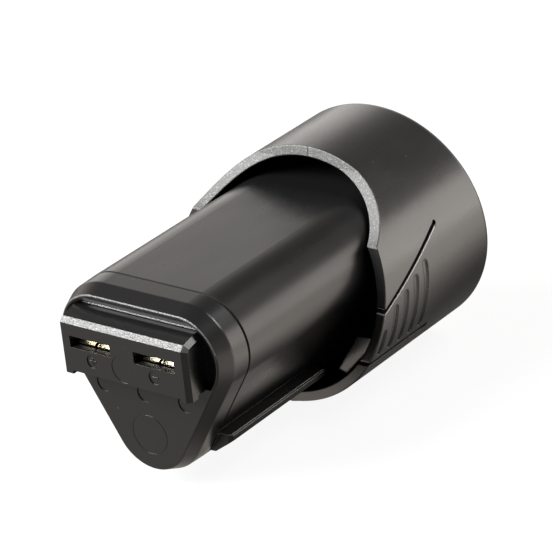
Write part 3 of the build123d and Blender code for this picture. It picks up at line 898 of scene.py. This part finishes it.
@dataclass(frozen=True)
class SolderMask(Finish):
    """Green board coating over copper tracks.

    Lengths are in millimetres, and a track's width is a share of the pitch.
    """

    title: str = "Board Coating"
    base: Colour = (0.02, 0.14, 0.05)
    track: Colour = (0.03, 0.24, 0.09)
    track_pitch: float = 1.6
    track_width: float = 0.12
    track_rise: float = 0.035
    roughness: float = 0.32
    track_roughness: float = 0.24

    def draw(self, board: ShaderBoard, shader: bpy.types.Node) -> None:
        """Feed colour, roughness and bump from a pattern of square tracks.

        Args:
            board: Board of the material's tree.
            shader: The material's shader.
        """
        base = opaque(self.base)
        tracks = board.add("TexBrick", {"Vector": board.place(), "Scale": 1.0 / self.track_pitch,
                                        "Mortar Size": self.track_width, "Color1": base, "Color2": base,
                                        "Mortar": opaque(self.track)}).outputs
        board.feed(tracks["Color"], shader.inputs["Base Color"])
        rough = board.spread(tracks["Fac"], FULL_SPAN, (self.roughness, self.track_roughness))
        board.feed(rough, shader.inputs["Roughness"])
        board.bump(board.product(tracks["Fac"], self.track_rise), shader)


# Each moulding's painted highlight colour and share are set here
STEM_BLACK = BlackMoulding("Stem Moulding", polish=0.285, specular=0.38, dust=0.05, painted_highlight=(0.4, 0.4, 0.39),
                           front_above=ABOVE_ALL, edge_highlight=RailHighlight())
NOSE_BLACK = BlackMoulding("Nose Moulding", polish=0.28, specular=0.42, front_roughness=0.3,
                           painted_highlight=(0.34, 0.34, 0.335))
CAP_BLACK = BlackMoulding("Cap Moulding", polish=0.27, specular=0.58, base=(0.009, 0.009, 0.0092),
                          front_roughness=0.6, painted_highlight=(0.32, 0.32, 0.315), highlight_share=0.62, front_above=35.6,
                          parting_above=44.0, edge_round=0.2)
TAB_BLACK = BlackMoulding("Tab Moulding", polish=0.27, specular=0.58, base=(0.009, 0.009, 0.0092),
                          painted_highlight=(0.65, 0.65, 0.64), front_above=35.6, edge_highlight=SlotHighlight(), edge_round=0.5)
NICKEL = BrightMetal()
CAN_STEEL = BrightMetal("Cell Steel", base=(0.66, 0.66, 0.67), tarnish=(0.5, 0.5, 0.52), roughness=0.28)
SCREW_ZINC = BrightMetal("Screw Zinc", base=(0.4, 0.4, 0.41), tarnish=(0.3, 0.3, 0.31), roughness=0.35)
FOIL = BrightMetal("Electrode Foil", base=(0.35, 0.35, 0.36), tarnish=(0.2, 0.2, 0.2), roughness=0.4)
SLEEVE_FILM = DullSolid("Shrink Film", base=(0.03, 0.2, 0.18), fleck=(0.035, 0.22, 0.2), roughness=0.28,
                        grain_scale=0.5, grain_depth=0.01, coat=0.4)
SPACER_RESIN = DullSolid("Spacer Resin", base=(0.7, 0.69, 0.64), fleck=(0.66, 0.65, 0.6), roughness=0.5)
CARD = DullSolid()
FOAM = DullSolid("Closed Foam", base=(0.035, 0.035, 0.037), fleck=(0.02, 0.02, 0.02), roughness=0.85,
                 grain_scale=2.0, grain_depth=0.15)
EPOXY = DullSolid("Epoxy", base=(0.018, 0.018, 0.02), fleck=(0.03, 0.03, 0.03), roughness=0.4)
BOARD = SolderMask()


def dress_nodes(finish: Finish, *nodes: str) -> None:
    """Give CAD nodes their finish.

    Args:
        finish: Finish for all of each node.
        nodes: Names of the nodes.
    """
    for node in nodes:
        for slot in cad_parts[node].material_slots:
            slot.material = finish.material()
        log.info("node %s in %s", node, finish.title)


class PieceShop:
    """Makes the small mesh pieces that are added to the frame."""

    EDGE_SEGMENTS = 2
    EDGE_PROFILE = 0.6
    DISC_SIDES = 24

    @staticmethod
    def place_object(name: str, mesh: bmesh.types.BMesh) -> bpy.types.Object:
        """Put a mesh into the scene as an object of its own.

        Args:
            name: Name of the object.
            mesh: Its shape, in metres, which is used up.

        Returns:
            The new object.
        """
        data = bpy.data.meshes.new(name)
        mesh.to_mesh(data)
        mesh.free()
        made = bpy.data.objects.new(name, data)
        bpy.context.scene.collection.objects.link(made)
        return made

    @staticmethod
    def dressed(name: str, mesh: bmesh.types.BMesh, finish: Finish, slot: str) -> bpy.types.Object:
        """Turn a mesh into a piece that isn't on a body yet.

        Args:
            name: Name of the piece.
            mesh: Its shape, in metres in the frame.
            finish: Its finish.
            slot: The record's slot for its finish; not used.

        Returns:
            The new object.
        """
        bmesh.ops.recalc_face_normals(mesh, faces=mesh.faces)
        made = PieceShop.place_object(name, mesh)
        made.data.materials.append(finish.material())
        return made

    @staticmethod
    def piece(name: str, mesh: bmesh.types.BMesh, finish: Finish, slot: str, body: str) -> None:
        """Turn a mesh into a piece that rides on a body.

        Args:
            name: Name of the piece.
            mesh: Its shape, in metres in the frame.
            finish: Its finish.
            slot: The record's slot for its finish, handed on to dressed.
            body: Body that it rides on.
        """
        made = PieceShop.dressed(name, mesh, finish, slot)
        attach(made, body)
        log.info("piece %s on %s, %d faces", name, body, len(made.data.polygons))

    @staticmethod
    def join_rings(mesh: bmesh.types.BMesh, first: list[bmesh.types.BMVert],
                   second: list[bmesh.types.BMVert]) -> None:
        """Join two rings of points with a band of four-sided faces.

        Args:
            mesh: Mesh that holds the rings.
            first: One ring, in order.
            second: The other ring, in the same order.
        """
        for index in range(len(first)):
            following = (index + 1) % len(first)
            mesh.faces.new((first[index], first[following], second[following], second[index]))

    @staticmethod
    def add_bar(mesh: bmesh.types.BMesh, centre: Vector, size: Vector, edge: float,
                turn: float = 0.0) -> None:
        """Add a box with rounded edges.

        Args:
            mesh: Mesh to add to.
            centre: Middle of the box, in metres.
            size: Its lengths along X, Y and Z, in metres.
            edge: Radius of its edges, in metres.
            turn: Turn about Y, in degrees.
        """
        place = Matrix.Translation(centre) @ Matrix.Rotation(math.radians(turn), 4, "Y")
        place = place @ Matrix.Diagonal((*size, 1.0))
        made = bmesh.ops.create_cube(mesh, size=1.0, matrix=place)
        edges = list({line for point in made["verts"] for line in point.link_edges})
        bmesh.ops.bevel(mesh, geom=edges, offset=edge, segments=PieceShop.EDGE_SEGMENTS,
                        profile=PieceShop.EDGE_PROFILE, affect="EDGES")

    @staticmethod
    def add_disc(mesh: bmesh.types.BMesh, centre: Vector, radius: float, depth: float,
                 crown: float) -> None:
        """Add a round button that faces forward.

        Args:
            mesh: Mesh to add to.
            centre: Middle of the button, in metres.
            radius: Radius of its foot, in metres.
            depth: Its thickness along Y, in metres.
            crown: Radius of its front over that of its foot.
        """
        place = Matrix.Translation(centre) @ Matrix.Rotation(math.radians(90), 4, "X")
        bmesh.ops.create_cone(mesh, cap_ends=True, segments=PieceShop.DISC_SIDES, radius1=radius,
                              radius2=radius * crown, depth=depth, matrix=place)


@dataclass(frozen=True)
class TerminalNose:
    """Nose cover, its polarity marks and the clips behind the slots. Lengths are in millimetres."""

    sizes: PackSizes
    mark_spread: float = 7.7
    mark_shift: float = 0.6
    mark_above_axis: float = 3.2
    mark_depth: float = 0.2
    mark_rise: float = 0.14
    stroke: float = 0.3
    stroke_length: float = 1.5
    stroke_edge: float = 0.04
    root_leg: float = 0.2
    root_sink: float = 0.02
    root_left: float = 15.3
    root_right: float = 14.2
    root_reach: float = 81.0
    root_above_axis: float = 12.25

    def dress(self) -> None:
        """Give the CAD nodes their finishes, and add the marks and the block's fillet."""
        dress_nodes(NOSE_BLACK, "nose_cover")
        dress_nodes(NICKEL, "positive_terminal_clip", "negative_terminal_clip")
        self.add_mark("plus_mark", -self.mark_spread - self.mark_shift, crossed=True)
        self.add_mark("minus_mark", self.mark_spread - self.mark_shift, crossed=False)
        self.add_block_root()

    def add_block_root(self) -> None:
        """Add the small fillet where the terminal block's top meets the floor of the recess round it."""
        mesh = bmesh.new()
        floor_y = self.sizes.y_at(self.root_reach)
        top_z = self.sizes.axis_z + self.root_above_axis
        leg = self.root_leg
        sink = self.root_sink
        corners = ((sink, -sink), (-leg, -sink), (-leg, 0.0), (0.0, leg), (sink, leg))
        ends = [[mesh.verts.new(metres(x, floor_y + forward, top_z + up)) for forward, up in corners]
                for x in (-self.root_left, self.root_right)]
        for ring in ends:
            mesh.faces.new(ring)
        PieceShop.join_rings(mesh, *ends)
        PieceShop.piece("block_root_fillet", mesh, NOSE_BLACK, SHELL_SLOT, PACK)

    def add_mark(self, name: str, x: float, crossed: bool) -> None:
        """Add a plain plus or minus on the floor of a round recess.

        Args:
            name: Name of the piece.
            x: Middle of the mark, in millimetres.
            crossed: Whether it is a plus.
        """
        mesh = bmesh.new()
        y = self.sizes.front_y + self.mark_depth - self.mark_rise / 2 + self.stroke_edge
        centre = metres(x, y, self.sizes.axis_z + self.mark_above_axis)
        size = metres(self.stroke_length, self.mark_rise + self.stroke_edge, self.stroke)
        turns = (0.0, 90.0) if crossed else (0.0,)
        for turn in turns:
            PieceShop.add_bar(mesh, centre, size, self.stroke_edge * MM, turn)
        PieceShop.piece(name, mesh, NOSE_BLACK, SHELL_SLOT, PACK)


@dataclass(frozen=True)
class HingeWeb:
    """Thin wall that joins a release tab to the cap and bends when the tab is squeezed.

    Lengths are in millimetres. Reaches are forward of the rear face.
    """

    sizes: PackSizes
    side: Side
    rear_reach: float = 16.6
    rear_rise: float = 9.2
    lower_reach: float = 20.0
    lower_drop: float = 12.6
    gap: float = 0.45
    lap: float = 0.12
    wall: float = 2.2
    sink: float = 0.006
    upper_hole: float = 0.5
    lower_hole: float = 0.45
    rows: int = 28
    columns: int = 6
    flat_below: float = 0.3

    @property
    def lean(self) -> float:
        """Change in reach for each millimetre down the hinge line."""
        return (self.lower_reach - self.rear_reach) / (self.rear_rise + self.lower_drop)

    @property
    def ends(self) -> Span:
        """Heights of the web's lower and upper end, inside the round ends of the slots."""
        axis_z = self.sizes.axis_z
        return axis_z - self.lower_drop + self.lower_hole, axis_z + self.rear_rise - self.upper_hole

    def line_reach(self, z: float) -> float:
        """Distance of the hinge line from the rear face, at a height."""
        return self.rear_reach + (self.sizes.axis_z + self.rear_rise - z) * self.lean

    def point(self, z: float, off: float, inset: float) -> Vector:
        """Point in the wall.

        Args:
            z: Height.
            off: Distance forward of the hinge line.
            inset: Depth below the cap's outer surface.

        Returns:
            The point, in metres.
        """
        x = self.sizes.cap_x(z, inset) * self.side.value
        return metres(x, self.sizes.y_at(self.line_reach(z) + off), z)

    def strip(self) -> bmesh.types.BMesh:
        """Shape the web as a closed strip of wall, one ring of points for each row.

        Returns:
            The web's mesh.
        """
        low_z, high_z = self.ends
        reach = self.gap / 2 + self.lap
        offs = [-reach + 2 * reach * column / self.columns for column in range(self.columns + 1)]
        mesh = bmesh.new()
        rings = []
        for row in range(self.rows + 1):
            z = low_z + (high_z - low_z) * row / self.rows
            outer = [mesh.verts.new(self.point(z, off, self.sink)) for off in offs]
            inner = [mesh.verts.new(self.point(z, off, self.wall - self.sink)) for off in reversed(offs)]
            rings.append(outer + inner)
        for lower, upper in zip(rings, rings[1:]):
            PieceShop.join_rings(mesh, lower, upper)
        for ring in (rings[0], rings[-1]):
            for index in range(self.columns):
                mirror = len(ring) - 1 - index
                mesh.faces.new((ring[index], ring[index + 1], ring[mirror - 1], ring[mirror]))
        return mesh

    def build(self) -> None:
        """Build the web across the gap between the cap and the tab."""
        name = f"{self.side.word}_tab_web"
        made = PieceShop.dressed(name, self.strip(), CAP_BLACK, SHELL_SLOT)
        for face in made.data.polygons:
            face.use_smooth = abs(face.normal.x) > self.flat_below
        middle_z = sum(self.ends) / 2
        start = self.point(middle_z, -self.gap / 2, self.wall / 2)
        end = self.point(middle_z, self.gap / 2, self.wall / 2)
        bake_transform(made)
        log.info("piece %s between %s and %s", name, PACK, self.side.body)


@dataclass(frozen=True)
class HollowCap:
    """Cap with its two release tabs and three screws."""

    sizes: PackSizes

    def dress(self) -> None:
        """Give the CAD nodes their finishes and close the hinges."""
        dress_nodes(CAP_BLACK, "base_cap")
        dress_nodes(TAB_BLACK, "right_release_tab", "left_release_tab")
        dress_nodes(SCREW_ZINC, "cap_screws")
        for side in Side:
            HingeWeb(self.sizes, side).build()


@dataclass(frozen=True)
class CellStack:
    """Three cells, the strips that join them and the pads at their ends. Lengths are in millimetres."""

    cells: tuple[str, ...] = ("left_cell", "right_cell", "lower_cell")
    spot_radius: float = 0.45
    spot_rise: float = 0.04
    spot_spread: float = 1.3
    spot_crown: float = 1.0

    def dress(self) -> None:
        """Give the CAD nodes their finishes and add the weld spots."""
        for cell in self.cells:
            dress_nodes(CAN_STEEL, f"{cell}_can", f"{cell}_positive_cap")
            dress_nodes(FOIL, f"{cell}_electrode_roll")
            dress_nodes(CARD, f"{cell}_washer")
            dress_nodes(SLEEVE_FILM, f"{cell}_sleeve")
        dress_nodes(NICKEL, "front_link_strip", "rear_link_strip")
        dress_nodes(NICKEL, "positive_lead_strip", "negative_lead_strip")
        dress_nodes(CARD, "front_insulator")
        dress_nodes(FOAM, "rear_cushion")
        self.add_spots("front_weld_spots", "front_link_strip", ("right_cell", "lower_cell"), front=True)
        self.add_spots("rear_weld_spots", "rear_link_strip", ("left_cell", "lower_cell"), front=False)

    def add_spots(self, name: str, strip: str, cells: tuple[str, ...], front: bool) -> None:
        """Add four weld spots over the middle of each cell that a strip joins.

        Args:
            name: Name of the piece.
            strip: Node that carries the spots.
            cells: Cells under the strip.
            front: Whether the spots are on the strip's front face.
        """
        low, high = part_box(strip)
        y = low.y if front else high.y
        mesh = bmesh.new()
        for cell in cells:
            corner, far_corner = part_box(f"{cell}_sleeve")
            middle = (corner + far_corner) / 2
            for across in (-1, 1):
                for up in (-1, 1):
                    offset = metres(across * self.spot_spread, 0.0, up * self.spot_spread)
                    centre = Vector((middle.x, y, middle.z)) + offset
                    PieceShop.add_disc(mesh, centre, self.spot_radius * MM, self.spot_rise * 2 * MM,
                                       self.spot_crown)
        PieceShop.piece(name, mesh, CAN_STEEL, METAL_SLOT, PACK)


@dataclass(frozen=True)
class BoardPart:
    """One part on the circuit board: name, place across and up from the cap's axis, and size."""

    name: str
    x: float
    rise: float
    width: float
    depth: float
    height: float
    finish: Finish
    slot: str


@dataclass(frozen=True)
class ProtectionBoard:
    """Circuit board with its parts, the spacer behind it and the sensor. Lengths are in millimetres."""

    sizes: PackSizes
    edge: float = 0.12
    tail_spread: float = 7.9
    tail_shift: float = 0.6
    tail_rise: float = 5.3
    solder_radius: float = 1.9
    solder_depth: float = 0.7
    solder_crown: float = 0.5

    def parts(self) -> tuple[BoardPart, ...]:
        """The parts that stand on the front of the board."""
        return (
            BoardPart("control_chip", 0.0, 0.5, 4.4, 0.9, 4.4, EPOXY, "bead"),
            BoardPart("left_switch_chip", -6.6, -1.6, 4.0, 1.0, 4.8, EPOXY, "bead"),
            BoardPart("right_switch_chip", 6.6, -1.6, 4.0, 1.0, 4.8, EPOXY, "bead"),
            BoardPart("shunt_resistor", 0.0, -5.4, 5.6, 0.8, 2.8, EPOXY, "bead"),
            BoardPart("left_capacitor", -3.1, 7.6, 1.6, 1.1, 3.0, SPACER_RESIN, "spacer_plastic"),
            BoardPart("right_capacitor", 3.1, 7.6, 1.6, 1.1, 3.0, SPACER_RESIN, "spacer_plastic"),
            BoardPart("lower_capacitor", 0.0, -9.6, 3.0, 1.0, 1.6, SPACER_RESIN, "spacer_plastic"),
        )

    def dress(self) -> None:
        """Give the CAD nodes their finishes, and add the board's parts and solder."""
        dress_nodes(BOARD, "circuit_board")
        dress_nodes(SPACER_RESIN, "front_spacer")
        dress_nodes(EPOXY, "thermistor")
        front_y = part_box("circuit_board")[0].y / MM
        for part in self.parts():
            mesh = bmesh.new()
            centre = metres(part.x, front_y - part.depth / 2, self.sizes.axis_z + part.rise)
            PieceShop.add_bar(mesh, centre, metres(part.width, part.depth, part.height), self.edge * MM)
            PieceShop.piece(part.name, mesh, part.finish, part.slot, PACK)
        for side in Side:
            mesh = bmesh.new()
            centre = metres(side.value * self.tail_spread - self.tail_shift, front_y - self.solder_depth / 2,
                            self.sizes.axis_z + self.tail_rise)
            PieceShop.add_disc(mesh, centre, self.solder_radius * MM, self.solder_depth * MM,
                               self.solder_crown)
            PieceShop.piece(f"{side.word}_solder_joint", mesh, CAN_STEEL, METAL_SLOT, PACK)


@dataclass(frozen=True)
class Softbox:
    """Rectangular lamp that faces the pack, with its angles in degrees and its lengths in metres."""

    name: str
    bearing: float
    rise: float
    distance: float
    width: float
    height: float
    radiance: float
    tint: Colour = WHITE

    def build(self, target: Vector) -> None:
        """Hang the lamp.

        Args:
            target: Point that it faces.
        """
        turn = math.radians(self.bearing)
        lift = math.radians(self.rise)
        way = Vector((math.sin(turn) * math.cos(lift), math.cos(turn) * math.cos(lift), math.sin(lift)))
        lamp = bpy.data.lights.new(self.name, "AREA")
        lamp.shape = "RECTANGLE"
        lamp.size = self.width
        lamp.size_y = self.height
        lamp.energy = LAMP_WATTS * self.width * self.height * self.radiance
        lamp.color = self.tint
        hung = bpy.data.objects.new(self.name, lamp)
        hung.location = target + way * self.distance
        hung.rotation_euler = way.to_track_quat("Z", "Y").to_euler()
        hung.visible_camera = False
        bpy.context.scene.collection.objects.link(hung)
        log.info("lamp %s", self.name)


@dataclass(frozen=True)
class PaleFloor:
    """Floor that is white to the camera and takes the pack's shadow.

    What the pack mirrors is a pool of light to its right and a strip of light under its stem. Lengths and
    places are in metres.
    """

    half: float = 4.0
    drop: float = 0.00005
    colour: Colour = (0.09, 0.09, 0.09)
    seen_glow: float = 0.9
    pool_x: Span = (0.018, 0.068)
    pool_glow: Span = (0.1, 2.8)
    pool_y: Span = (-0.085, 0.02)
    pool_front_share: float = 0.11
    pool_drift: float = 0.3
    strip_right: float = 0.0125
    strip_rear: float = 0.002
    strip_left: float = -0.004
    strip_front: float = -0.024
    strip_blur: float = 0.003
    strip_glow: float = 1.9
    front_glow: float = 0.5

    def build(self) -> None:
        """Lay the floor just under the pack."""
        mesh = bmesh.new()
        bmesh.ops.create_grid(mesh, x_segments=1, y_segments=1, size=self.half)
        floor = PieceShop.place_object("floor", mesh)
        floor.location.z = -self.drop
        floor.data.materials.append(self.material())
        log.info("floor laid")

    def material(self) -> bpy.types.Material:
        """Build the floor's material, which glows as much as each kind of ray needs.

        Returns:
            The material.
        """
        made = bpy.data.materials.new("Pale Floor")
        board = ShaderBoard.cleared(made)
        rays = board.add("LightPath").outputs
        mirrored = board.maths(Maths.MAXIMUM, rays["Is Glossy Ray"], rays["Is Transmission Ray"])
        place = board.axes(board.add("NewGeometry").outputs["Position"])
        mirrored_glow = board.maths(Maths.ADD, self.pool(board, place), self.strip(board, place))
        seen = board.product(rays["Is Camera Ray"], self.seen_glow)
        glow = board.maths(Maths.ADD, board.product(mirrored, mirrored_glow), seen)
        tint = board.mix(Blend.COLOUR, mirrored, opaque(WHITE), opaque(WARM_WHITE))
        paint = board.add("BsdfDiffuse", {"Color": opaque(self.colour)})
        light = board.add("Emission", {"Color": tint, "Strength": glow})
        both = board.add("AddShader", {0: paint.outputs[0], 1: light.outputs[0]})
        board.feed(both.outputs[0], board.add("OutputMaterial").inputs["Surface"])
        return made

    def pool(self, board: ShaderBoard, place: Sockets) -> Socket:
        """Glow of the pool, which starts further right behind the pack and fades in front of it.

        Args:
            board: Board of the material's tree.
            place: X, Y and Z on the floor.

        Returns:
            The glow's socket.
        """
        behind = board.maths(Maths.MAXIMUM, board.maths(Maths.SUBTRACT, place["Y"], self.pool_y[1]))
        off = board.maths(Maths.SUBTRACT, place["X"], board.product(behind, self.pool_drift))
        glow = board.spread(off, self.pool_x, self.pool_glow)
        return board.product(glow, board.spread(place["Y"], self.pool_y, (self.pool_front_share, 1.0)))

    def strip(self, board: ShaderBoard, place: Sockets) -> Socket:
        """Glow of the strip, bright between its four sides and dimmer to the left and in front of them.

        Args:
            board: Board of the material's tree.
            place: X, Y and Z on the floor.

        Returns:
            The glow's socket.
        """
        left_of = board.spread(place["X"], self.blurred(self.strip_right)[::-1])
        in_front = board.spread(place["Y"], self.blurred(self.strip_rear)[::-1])
        right_of = board.spread(place["X"], self.blurred(self.strip_left))
        behind = board.spread(place["Y"], self.blurred(self.strip_front))
        glow = board.mix(Blend.VALUE, board.product(right_of, behind), self.front_glow, self.strip_glow)
        return board.product(left_of, in_front, glow)

    def blurred(self, side: float) -> Span:
        """Span over which the strip fades at one of its sides."""
        return side - self.strip_blur, side + self.strip_blur


@dataclass(frozen=True)
class Room:
    """Surroundings that the pack mirrors: a white horizon, a dim ceiling and a dim side behind the camera."""

    rise: Span = (0.3, 0.72)
    glow: Span = (0.95, 0.13)
    depth: Span = (-0.5, 0.2)
    camera_side: float = 0.12

    def build(self) -> None:
        """Build the world's material, which is white to the camera."""
        world = bpy.data.worlds.new("room")
        bpy.context.scene.world = world
        board = ShaderBoard.cleared(world)
        seen = board.add("LightPath").outputs["Is Camera Ray"]
        way = board.axes(board.add("TexCoord").outputs["Generated"])
        glow = board.product(board.spread(way["Z"], self.rise, self.glow),
                             board.spread(way["Y"], self.depth, (self.camera_side, 1.0)))
        strength = board.mix(Blend.VALUE, seen, glow, 1.0)
        tint = board.mix(Blend.COLOUR, seen, opaque(WARM_WHITE), opaque(WHITE))
        back = board.add("Background", {"Color": tint, "Strength": strength})
        board.feed(back.outputs[0], board.add("OutputWorld").inputs["Surface"])
        log.info("room set")


@dataclass(frozen=True)
class Viewpoint:
    """Camera that sees the pack as the photo does, with its place, lens and film in millimetres."""

    place: Triple = (369.04, -446.68, 303.20)
    right: Triple = (0.79894, 0.59348, -0.09731)
    up: Triple = (-0.18640, 0.39820, 0.89816)
    lens: float = 208.33
    film: float = 36.0
    nearest: float = 10.0

    def build(self) -> None:
        """Set the camera, squaring its two directions to each other."""
        data = bpy.data.cameras.new("camera")
        data.lens = self.lens
        data.sensor_width = self.film
        data.clip_start = self.nearest * MM
        camera = bpy.data.objects.new("camera", data)
        right = Vector(self.right).normalized()
        up = Vector(self.up)
        up = (up - right * up.dot(right)).normalized()
        turned = Matrix((right, up, right.cross(up))).transposed()
        camera.matrix_world = Matrix.Translation(metres(*self.place)) @ turned.to_4x4()
        bpy.context.scene.collection.objects.link(camera)
        bpy.context.scene.camera = camera
        log.info("camera placed")


class Studio:
    """Floor, room, soft lamps and camera."""

    def build(self) -> None:
        """Build all that stands round the pack."""
        PaleFloor().build()
        Room().build()
        middle = (Vector(CAD_BOX[0]) + Vector(CAD_BOX[1])) / 2
        for softbox in self.softboxes():
            softbox.build(middle)
        Viewpoint().build()

    def softboxes(self) -> tuple[Softbox, ...]:
        """The lamps, placed by bearing from +Y towards +X and by rise above the floor."""
        return (
            Softbox("front_key", bearing=-138.0, rise=35.0, distance=1.1, width=0.75, height=0.7,
                    radiance=19.5),
            Softbox("right_rear", bearing=42.0, rise=10.5, distance=0.6, width=0.5, height=0.26,
                    radiance=2.9, tint=(1.0, 0.95, 0.9)),
            Softbox("overhead", bearing=40.0, rise=58.0, distance=0.9, width=0.2, height=0.2,
                    radiance=9.0),
            Softbox("right_side", bearing=60.0, rise=50.0, distance=0.9, width=0.2, height=0.3,
                    radiance=12.0),
            Softbox("left_rear", bearing=-45.0, rise=10.0, distance=0.9, width=0.6, height=0.55,
                    radiance=0.7),
        )


def main() -> None:
    """Build the sub-assemblies in order, then the studio."""
    logging.basicConfig(level=logging.INFO, format="%(name)s: %(message)s")
    bpy.context.scene.view_settings.view_transform = "Standard"
    sizes = PackSizes.from_frame()
    dress_nodes(STEM_BLACK, "stem_housing")
    TerminalNose(sizes).dress()
    HollowCap(sizes).dress()
    CellStack().dress()
    ProtectionBoard(sizes).dress()
    Studio().build()


if __name__ == "__main__":
    main()
